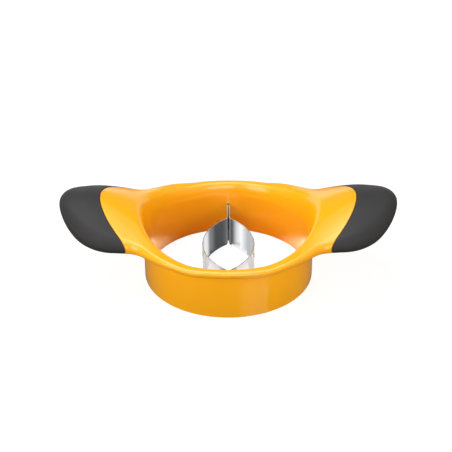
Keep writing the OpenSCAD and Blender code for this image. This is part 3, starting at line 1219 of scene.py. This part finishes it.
@dataclass
class Grip(Part):
    """The soft skin over one wing's end, closed over the tip and open at the seam."""

    side: Side = Side.RIGHT
    skin_t: float = 2.2
    tip_bow: float = 0.3
    sharp: float = 35.0

    ARC_STEPS = 40
    RING_STEPS = 64
    INNER_STEPS = 16
    ROUND_STEPS = 6

    def rings(self) -> list[Point]:
        """Return the skin's rings from the inner tip to the seam and out to the tip.

        Returns:
            For each ring where it crosses the crest, its bow and its inset.
        """
        form = self.form
        start = form.seam_x + form.seam_gap

        def shells(first: float, inset: float, count: int) -> list[Point]:
            """Lay out the rings of one side of the skin, from the seam to the tip.

            Args:
                first: Where the first ring crosses the crest.
                inset: How far the rings are drawn in.
                count: Number of steps to the tip.

            Returns:
                The rings.
            """
            made = []
            for t in (math.sin(QUARTER * u) for u in steps(count)):
                bow = form.seam_bow * (1 - t * (1 - self.tip_bow))
                made.append((first + (form.tip_x - inset - first) * t, bow, inset))
            return made

        edge = form.seam_round
        lip = [
            (start + edge * (1 - math.cos(w)), form.seam_bow, edge * (1 - math.sin(w)))
            for w in steps(self.ROUND_STEPS, 0.0, QUARTER)[:-1]
        ]
        inner = shells(start, self.skin_t, self.INNER_STEPS)
        return [*reversed(inner), *lip, *shells(start + edge, 0.0, self.RING_STEPS)]

    def ring_points(self, crest: float, bow: float, inset: float) -> list[Point]:
        """Return one ring of the skin, over the upper side and back along the underside.

        Args:
            crest: Where the ring crosses the crest.
            bow: How fast it falls back from there.
            inset: How far it is drawn in.

        Returns:
            Points of the right wing's ring.
        """
        form = self.form
        end = halve(lambda y: form.edge_dist(crest - bow * y * y, y, inset) > 0, 0.0, form.half_w)
        upper, under = [], []
        for t in steps(2 * self.ARC_STEPS, -1.0, 1.0):
            y = end * math.sin(QUARTER * t)
            x = crest - bow * y * y
            low, high = form.levels(x, abs(y), inset)
            upper.append((x, y, high))
            under.append((x, y, low))
        return [*upper, *reversed(under[1:-1])]

    def build(self) -> Piece:
        """Wrap a grid round the wing's end, inside and out.

        Returns:
            The skin.
        """
        rings = [self.ring_points(*ring) for ring in self.rings()]
        tips = {0: self.tip(self.skin_t), len(rings) - 1: self.tip(0.0)}
        around = len(rings[0])

        def place(column: int, row: int) -> Point:
            """Return the skin's point for a column round the wing and a row along it."""
            x, y, z = tips.get(row) or rings[row][column % around]
            return (self.side.value * x, y, z)

        piece = wrapped_grid(self.node, around, len(rings) - 1, place)
        close_mesh(piece)
        return piece

    def tip(self, inset: float) -> Point:
        """Return the skin's outermost point."""
        low, high = self.form.levels(self.form.tip_x, 0.0)
        return (self.form.tip_x - inset, 0.0, (low + high) / 2)


@dataclass
class GripScrews(Part):
    """The four screws under the wings, with cross recesses in their heads."""

    shank_r: float = 1.3
    head_r: float = 2.7
    head_h: float = 1.2
    point_wall: float = 1.0
    recess_w: float = 0.8
    recess_len: float = 3.0
    recess_h: float = 0.8
    edge_round: float = 0.3
    fold: float = 60.0

    ROUND_STEPS = 3
    TURN_STEPS = 48
    UPWARD = 0.9

    def screw(self) -> Piece:
        """Model one screw upright, with its head below its seat at the origin.

        Returns:
            The screw.
        """
        length = self.form.seat_wall + self.form.tongue_t - self.point_wall
        deselect()
        bpy.ops.mesh.primitive_cylinder_add(
            vertices=self.TURN_STEPS, radius=self.head_r * MM, depth=self.head_h * MM,
            location=(0, 0, -self.head_h * MM / 2),
        )
        head = bpy.context.object
        bpy.ops.object.transform_apply(location=True)
        with editing(head):
            bpy.ops.mesh.select_all(action="DESELECT")
        for face in head.data.polygons:
            face.select = face.normal.z > self.UPWARD
        bpy.ops.object.mode_set(mode="EDIT")
        bpy.ops.mesh.inset(thickness=(self.head_r - self.shank_r) * MM)
        bpy.ops.mesh.extrude_region_move(TRANSFORM_OT_translate={"value": (0, 0, length * MM)})
        bpy.ops.object.mode_set(mode="OBJECT")
        for turn in (0.0, QUARTER):
            bpy.ops.mesh.primitive_cube_add(
                size=1, location=(0, 0, -self.head_h * MM), rotation=(0, 0, turn),
                scale=(self.recess_len * MM, self.recess_w * MM, 2 * self.recess_h * MM),
            )
            take_away(head, [bpy.context.object])
        round_edges(head, self.edge_round, self.ROUND_STEPS, self.fold)
        return head

    def build(self) -> Piece:
        """Copy the screw to its four seats.

        Returns:
            The screws as one piece.
        """
        first = self.screw()
        copies = []
        for place, turn in self.form.screw_places(self.form.screw_seat):
            select(first)
            bpy.ops.object.duplicate()
            copy = bpy.context.object
            copy.location, copy.rotation_euler = place, turn
            bpy.ops.object.transform_apply(location=True, rotation=True, scale=True)
            copies.append(copy)
        select(first)
        bpy.ops.object.delete()
        piece = joined(copies)
        piece.name = piece.data.name = self.node
        return piece


class Reach(Enum):
    """What a lamp acts on; the value names the kind of ray that doesn't see it."""

    ALL = ""
    MATT = "glossy"
    GLOSS = "diffuse"


@dataclass(frozen=True)
class Softbox:
    """A square area lamp that looks at the slicer."""

    name: str
    place: Point
    size: float
    watts: float
    reach: Reach = Reach.ALL
    tone: str = WHITE
    aim: Point = (0.0, 0.0, 30.0)

    def add(self) -> None:
        """Hang the lamp."""
        deselect()
        bpy.ops.object.light_add(type="AREA", location=Vector(self.place) * MM)
        lamp = bpy.context.object
        lamp.name = lamp.data.name = self.name
        lamp.data.shape = "SQUARE"
        lamp.data.size = self.size * MM
        lamp.data.energy = self.watts
        lamp.data.color = linear(self.tone)[:3]
        gaze = Vector(self.aim) - Vector(self.place)
        lamp.rotation_euler = gaze.to_track_quat("-Z", "Y").to_euler()
        if self.reach is not Reach.ALL:
            setattr(lamp, f"visible_{self.reach.value}", False)


@dataclass(frozen=True)
class Card:
    """A studio card that glossy surfaces mirror, painting light and shade into their reflections; the camera
    itself sees it only if it is shown, and then it is painted shade.
    """

    name: str
    place: Point
    size: Pair
    glow: float
    tilt: float = 0.0
    turn: float = 0.0
    round: bool = False
    tone: str = WHITE
    fade: float = 0.0
    faded: float = 0.08
    shown: bool = False
    one_way: bool = False
    taper: float = 1.0

    CELLS = 8
    ROUND_STEPS = 96

    def ends(self) -> tuple["Card", "Card"]:
        """Return the card for the rear and its mirror image for the front."""
        front = (self.place[0], -self.place[1], self.place[2])
        return replace(self, name=f"rear_{self.name}"), replace(self, name=f"front_{self.name}", place=front)

    def add(self) -> None:
        """Set the card up."""
        where = {
            "location": Vector(self.place) * MM,
            "rotation": (math.radians(self.tilt), 0.0, math.radians(self.turn)),
        }
        deselect()
        if self.round:
            bpy.ops.mesh.primitive_circle_add(
                vertices=self.ROUND_STEPS, radius=0.5, fill_type="NGON", **where,
            )
        else:
            bpy.ops.mesh.primitive_grid_add(
                x_subdivisions=self.CELLS, y_subdivisions=self.CELLS, size=1, **where,
            )
        card = bpy.context.object
        card.name = card.data.name = self.name
        card.scale = Vector((*self.size, 1.0)) * MM
        for vertex in card.data.vertices:
            vertex.co.x *= self.taper + (1.0 - self.taper) * (vertex.co.y + 0.5)
        card.visible_camera = self.shown
        for ray in ("diffuse", "transmission", "volume_scatter", "shadow"):
            setattr(card, f"visible_{ray}", False)
        paint = bpy.data.materials.new(self.name)
        card.data.materials.append(paint)
        tree = empty_tree(paint)
        level = self.softened(tree) if self.fade else self.glow
        glow = add_node(tree, "Emission", {"Color": linear(self.tone), "Strength": level})
        add_node(tree, "OutputMaterial", {"Surface": glow.outputs[0]})

    def softened(self, tree: Tree) -> Socket:
        """Fade the card's glow towards both its ends, or towards its far end only.

        Args:
            tree: Node tree of the card's paint.

        Returns:
            The glow's level.
        """
        place = add_node(tree, "TexCoord").outputs["UV"]
        along = add_node(tree, "SeparateXYZ", {0: place}).outputs["X"]
        along = add_node(tree, "Math", {0: along, 1: 0.5}, operation="SUBTRACT").outputs[0]
        if not self.one_way:
            along = add_node(tree, "Math", {0: along}, operation="ABSOLUTE").outputs[0]
        ends = {"From Min": 0.5 - self.fade, "From Max": 0.5, "To Min": self.glow, "To Max": self.faded}
        level = add_node(tree, "MapRange", {"Value": along, **ends}, interpolation_type="SMOOTHSTEP")
        return level.outputs["Result"]


@dataclass(frozen=True)
class Studio:
    """White seamless studio: pale floor, white surroundings, soft lamps and the photograph's camera."""

    camera_far: float = 900.0
    camera_rise: float = 32.8
    focal_px: float = 1206.0
    frame_px: float = 452.0
    axis_px: Pair = (228.5, 270.1)
    camera_roll: float = -0.2
    sensor: float = 36.0
    floor_size: float = 6000.0
    floor_drop: float = 0.05
    floor_tone: str = "#7A6A58"
    bore_tone: str = "#FFB050"
    bore_r: float = 59.0
    floor_white: float = 0.9
    floor_fade: Pair = (220.0, 650.0)
    floor_shadow: float = 0.18
    # Painted shade: the floor's glow in gloss near the slicer, rising to white far off
    floor_gloss_painted_shade: float = 0.16
    sky_level: float = 0.12
    sky_tone: str = "#FFD8A8"
    lamps: tuple[Softbox, ...] = (
        Softbox("key_softbox", (-700.0, -850.0, 480.0), 700.0, 5.5),
        Softbox("front_softbox", (200.0, -1200.0, 240.0), 700.0, 5.6),
        Softbox("top_softbox", (-280.0, 130.0, 950.0), 600.0, 8.3, Reach.MATT),
        Softbox("glint_softbox", (-90.0, -250.0, 1000.0), 900.0, 6.6, Reach.GLOSS),
        Softbox("overhead_softbox", (0.0, -50.0, 1050.0), 1150.0, 5.0, Reach.GLOSS),
        Softbox("left_softbox", (-1000.0, -250.0, 180.0), 700.0, 5.8, Reach.MATT, "#FFF1E0"),
        Softbox("right_softbox", (1000.0, -350.0, 260.0), 700.0, 7.8, Reach.MATT, "#FFF1E0"),
        Softbox("rear_softbox", (0.0, 1100.0, 260.0), 800.0, 8.0, Reach.MATT, "#FFF1E0"),
    )
    cards: tuple[Card, ...] = (
        # Painted light and shade on the floor inside the bore, seen only in gloss, as the wall and the
        # blades' outer faces mirror it; the patch cards paint pale highlights low in the bore
        Card("bore_card", (0.0, 0.0, -0.045), (117.0, 117.0), 0.9, round=True),
        Card("bore_flag", (0.0, 0.0, -0.04), (72.0, 84.0), 0.12),
        *Card("flag", (0.0, 52.0, -0.035), (117.0, 23.0), 0.12).ends(),
        Card(
            "left_patch_card", (-43.6, 28.3, -0.032), (36.0, 14.0), 2.8,
            turn=-123.0, tone="#FFF2C8", fade=0.35, faded=0.4,
        ),
        Card(
            "right_patch_card", (43.6, 28.3, -0.032), (36.0, 14.0), 3.4,
            turn=-57.0, tone="#FFF8DC", fade=0.35, faded=0.4,
        ),
        # Painted light on the edges of the blades' tails, from cards seen only in gloss, and painted shade in
        # the slot between them: dark cards that the camera sees
        *Card("tail_card", (0.0, 56.5, 28.0), (4.0, 12.0), 1.6, tilt=90.0, fade=0.5, faded=0.1).ends(),
        *Card("slot_painted_shade", (0.0, 57.5, 11.0), (0.75, 22.0), 0.02, tilt=90.0, shown=True).ends(),
        # Painted light on the floor, seen only in gloss, in strips that the blades' outer faces mirror
        Card("blade_card", (0.0, -12.0, -0.033), (96.0, 38.0), 1.4),
        Card("blade_grey_card", (0.0, 7.0, -0.03), (79.0, 22.0), 0.85),
        # Painted light and shade in the blades' inner faces: cards seen only in gloss, on the floor and
        # standing inside the cell
        Card("cell_floor_flag", (0.0, 0.0, -0.025), (39.0, 77.0), 0.1, round=True),
        Card("cell_floor_card", (8.0, 0.0, -0.02), (15.0, 70.0), 1.3),
        Card("left_near_strip", (-14.0, 14.5, 12.0), (11.0, 22.0), 1.2, 90.0, 90.0, fade=0.28, faded=0.4),
        Card("left_far_strip", (-9.0, 22.9, 12.0), (10.0, 22.0), 0.36, 90.0, 90.0, fade=0.5, faded=0.1),
        Card("right_near_strip", (14.0, 14.5, 12.0), (11.0, 22.0), 0.7, 90.0, 90.0),
        Card("right_far_strip", (9.0, 22.9, 12.0), (10.0, 22.0), 0.75, 90.0, 90.0, fade=0.5, faded=1.45),
        Card("cell_flag", (-0.1, 0.0, 11.5), (76.0, 23.0), 0.1, 90.0, 90.0, fade=0.08, faded=0.3),
        Card("cell_card", (0.1, 0.0, 12.0), (69.0, 22.0), 1.5, 90.0, 90.0, fade=0.072),
        # Painted shadow on the floor under the blades' tails: dark cards that the camera sees
        *Card(
            "slot_shade", (0.0, 51.0, -0.02), (21.0, 0.75), 0.03, turn=90.0, fade=0.15, faded=0.9, shown=True,
        ).ends(),
        # Painted reflection: a light card on the floor, seen only in gloss, that the skirt's front mirrors as
        # an upright band
        Card(
            "band_card", (32.4, -84.6, -0.03), (70.8, 62.0), 0.8,
            turn=-148.0, fade=0.4, faded=0.2, one_way=True, taper=0.3,
        ),
        # Dim surroundings, with a light strip low at the rear
        Card("rear_floor_flag", (0.0, 520.0, -0.04), (2600.0, 620.0), 0.2),
        Card("sky_flag", (0.0, 830.0, 490.0), (2600.0, 980.0), 0.15, tilt=90.0),
        Card("left_flag", (-1040.0, 65.0, 300.0), (1530.0, 600.0), 0.2, 90.0, 90.0),
        Card("right_flag", (1040.0, 65.0, 300.0), (1530.0, 600.0), 0.2, 90.0, 90.0),
        Card("left_rear_card", (-410.0, 815.0, 128.0), (820.0, 254.0), 1.0, tilt=90.0),
        Card("right_rear_card", (410.0, 815.0, 128.0), (820.0, 254.0), 0.75, tilt=90.0),
    )

    def floor(self) -> None:
        """Lay the floor: white to the eye with a faint shadow, pale for light, and in gloss dim close by, a
        painted shade.
        """
        deselect()
        bpy.ops.mesh.primitive_plane_add(size=self.floor_size * MM, location=(0, 0, -self.floor_drop * MM))
        floor = bpy.context.object
        floor.name = floor.data.name = "studio_floor"
        paint = bpy.data.materials.new("floor_pale_matt")
        floor.data.materials.append(paint)
        tree = empty_tree(paint)
        place = add_node(tree, "TexCoord").outputs["Object"]
        radius = add_node(tree, "VectorMath", {0: place}, operation="LENGTH").outputs["Value"]
        inside = add_node(tree, "Math", {0: radius, 1: self.bore_r * MM}, operation="LESS_THAN").outputs[0]
        tones = {"Factor": inside, "A": linear(self.floor_tone), "B": linear(self.bore_tone)}
        bounce = add_node(tree, "Mix", tones, data_type="RGBA").outputs["Result"]
        matt = add_node(tree, "BsdfDiffuse", {"Color": bounce})
        dimmed = add_node(tree, "BsdfDiffuse", {"Color": (*[self.floor_shadow] * 3, 1.0)})
        near, far = self.floor_fade
        fade = {"Value": radius, "From Min": near * MM, "From Max": far * MM, "To Max": 1.0}
        # The first glow is what the eye sees; the second, dim near the slicer, is painted shade in gloss
        glows = []
        for level in (self.floor_white, self.floor_gloss_painted_shade):
            inputs = {**fade, "To Min": level}
            glow = add_node(tree, "MapRange", inputs, interpolation_type="SMOOTHSTEP").outputs["Result"]
            glows.append(add_node(tree, "Emission", {"Strength": glow}).outputs[0])
        bright = add_node(tree, "AddShader", {0: dimmed.outputs[0], 1: glows[0]})
        path = add_node(tree, "LightPath").outputs
        rays = {0: path["Is Glossy Ray"], 1: path["Is Transmission Ray"]}
        shiny = add_node(tree, "Math", rays, operation="MAXIMUM").outputs[0]
        other = add_node(tree, "MixShader", {0: shiny, 1: matt.outputs[0], 2: glows[1]})
        seen = {0: path["Is Camera Ray"], 1: other.outputs[0], 2: bright.outputs[0]}
        add_node(tree, "OutputMaterial", {"Surface": add_node(tree, "MixShader", seen).outputs[0]})

    def sky(self) -> None:
        """Surround the slicer with white, dimmer as a lamp than to the eye."""
        world = bpy.data.worlds.new("studio_white")
        bpy.context.scene.world = world
        tree = empty_tree(world)
        lamp = add_node(tree, "Background", {"Color": linear(self.sky_tone), "Strength": self.sky_level})
        white = add_node(tree, "Background", {"Color": linear(WHITE), "Strength": 1.0})
        path = add_node(tree, "LightPath").outputs
        shows = path["Is Camera Ray"]
        for ray in ("Is Glossy Ray", "Is Transmission Ray"):
            shows = add_node(tree, "Math", {0: shows, 1: path[ray]}, operation="MAXIMUM").outputs[0]
        mixed = add_node(tree, "MixShader", {0: shows, 1: lamp.outputs[0], 2: white.outputs[0]})
        add_node(tree, "OutputWorld", {"Surface": mixed.outputs[0]})

    def camera(self) -> None:
        """Set the camera up as the photograph's was."""
        rise = math.radians(self.camera_rise)
        place = Vector((0.0, -math.cos(rise), math.sin(rise))) * self.camera_far * MM
        deselect()
        bpy.ops.object.camera_add(location=place)
        camera = bpy.context.object
        tilt = Matrix.Rotation(QUARTER - rise, 3, "X")
        camera.rotation_euler = (tilt @ Matrix.Rotation(math.radians(self.camera_roll), 3, "Z")).to_euler()
        camera.data.sensor_width = self.sensor
        camera.data.lens = self.focal_px * self.sensor / self.frame_px
        camera.data.shift_x = (self.frame_px / 2 - self.axis_px[0]) / self.frame_px
        camera.data.shift_y = (self.axis_px[1] - self.frame_px / 2) / self.frame_px
        bpy.context.scene.camera = camera

    def build(self) -> None:
        """Set up floor, surroundings, lamps, cards and camera."""
        bpy.context.scene.view_settings.view_transform = "Standard"
        self.floor()
        self.sky()
        for item in (*self.lamps, *self.cards):
            item.add()
        self.camera()


def dress_cores(finish: Finish) -> None:
    """Give the sealed grip cores their finish; their shape is the CAD's own.

    Args:
        finish: Finish of the cores.
    """
    for name in ("left_grip_core", "right_grip_core"):
        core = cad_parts[name]
        core.data.materials.clear()
        core.data.materials.append(finish.material())
        LOG.info("%s: %s", name, finish.name)


def main() -> None:
    """Build and dress every piece, then the studio."""
    logging.basicConfig(level=logging.INFO, format="%(message)s")
    form = SlicerForm()
    yellow, soft, steel = MouldedAbs(), SoftTouchElastomer(), PolishedStainless()
    blades = [
        Blade(form, steel, "blade_steel", f"{side.name.lower()}_blade", side=side) for side in Side
    ]
    grips = [Grip(form, soft, "soft_grip", f"{side.name.lower()}_grip", side=side) for side in Side]
    parts = [
        FunnelBody(form, yellow, "yellow_abs", "funnel_body", blade=blades[0]),
        SkirtRing(form, yellow, "yellow_abs", "skirt_ring"),
        *blades,
        *grips,
        GripScrews(form, PlainScrewSteel(), "screw_steel", "grip_screws"),
    ]
    for part in parts:
        part.add()
    dress_cores(MouldedPolypropylene())
    Studio().build()


if __name__ == "__main__":
    main()
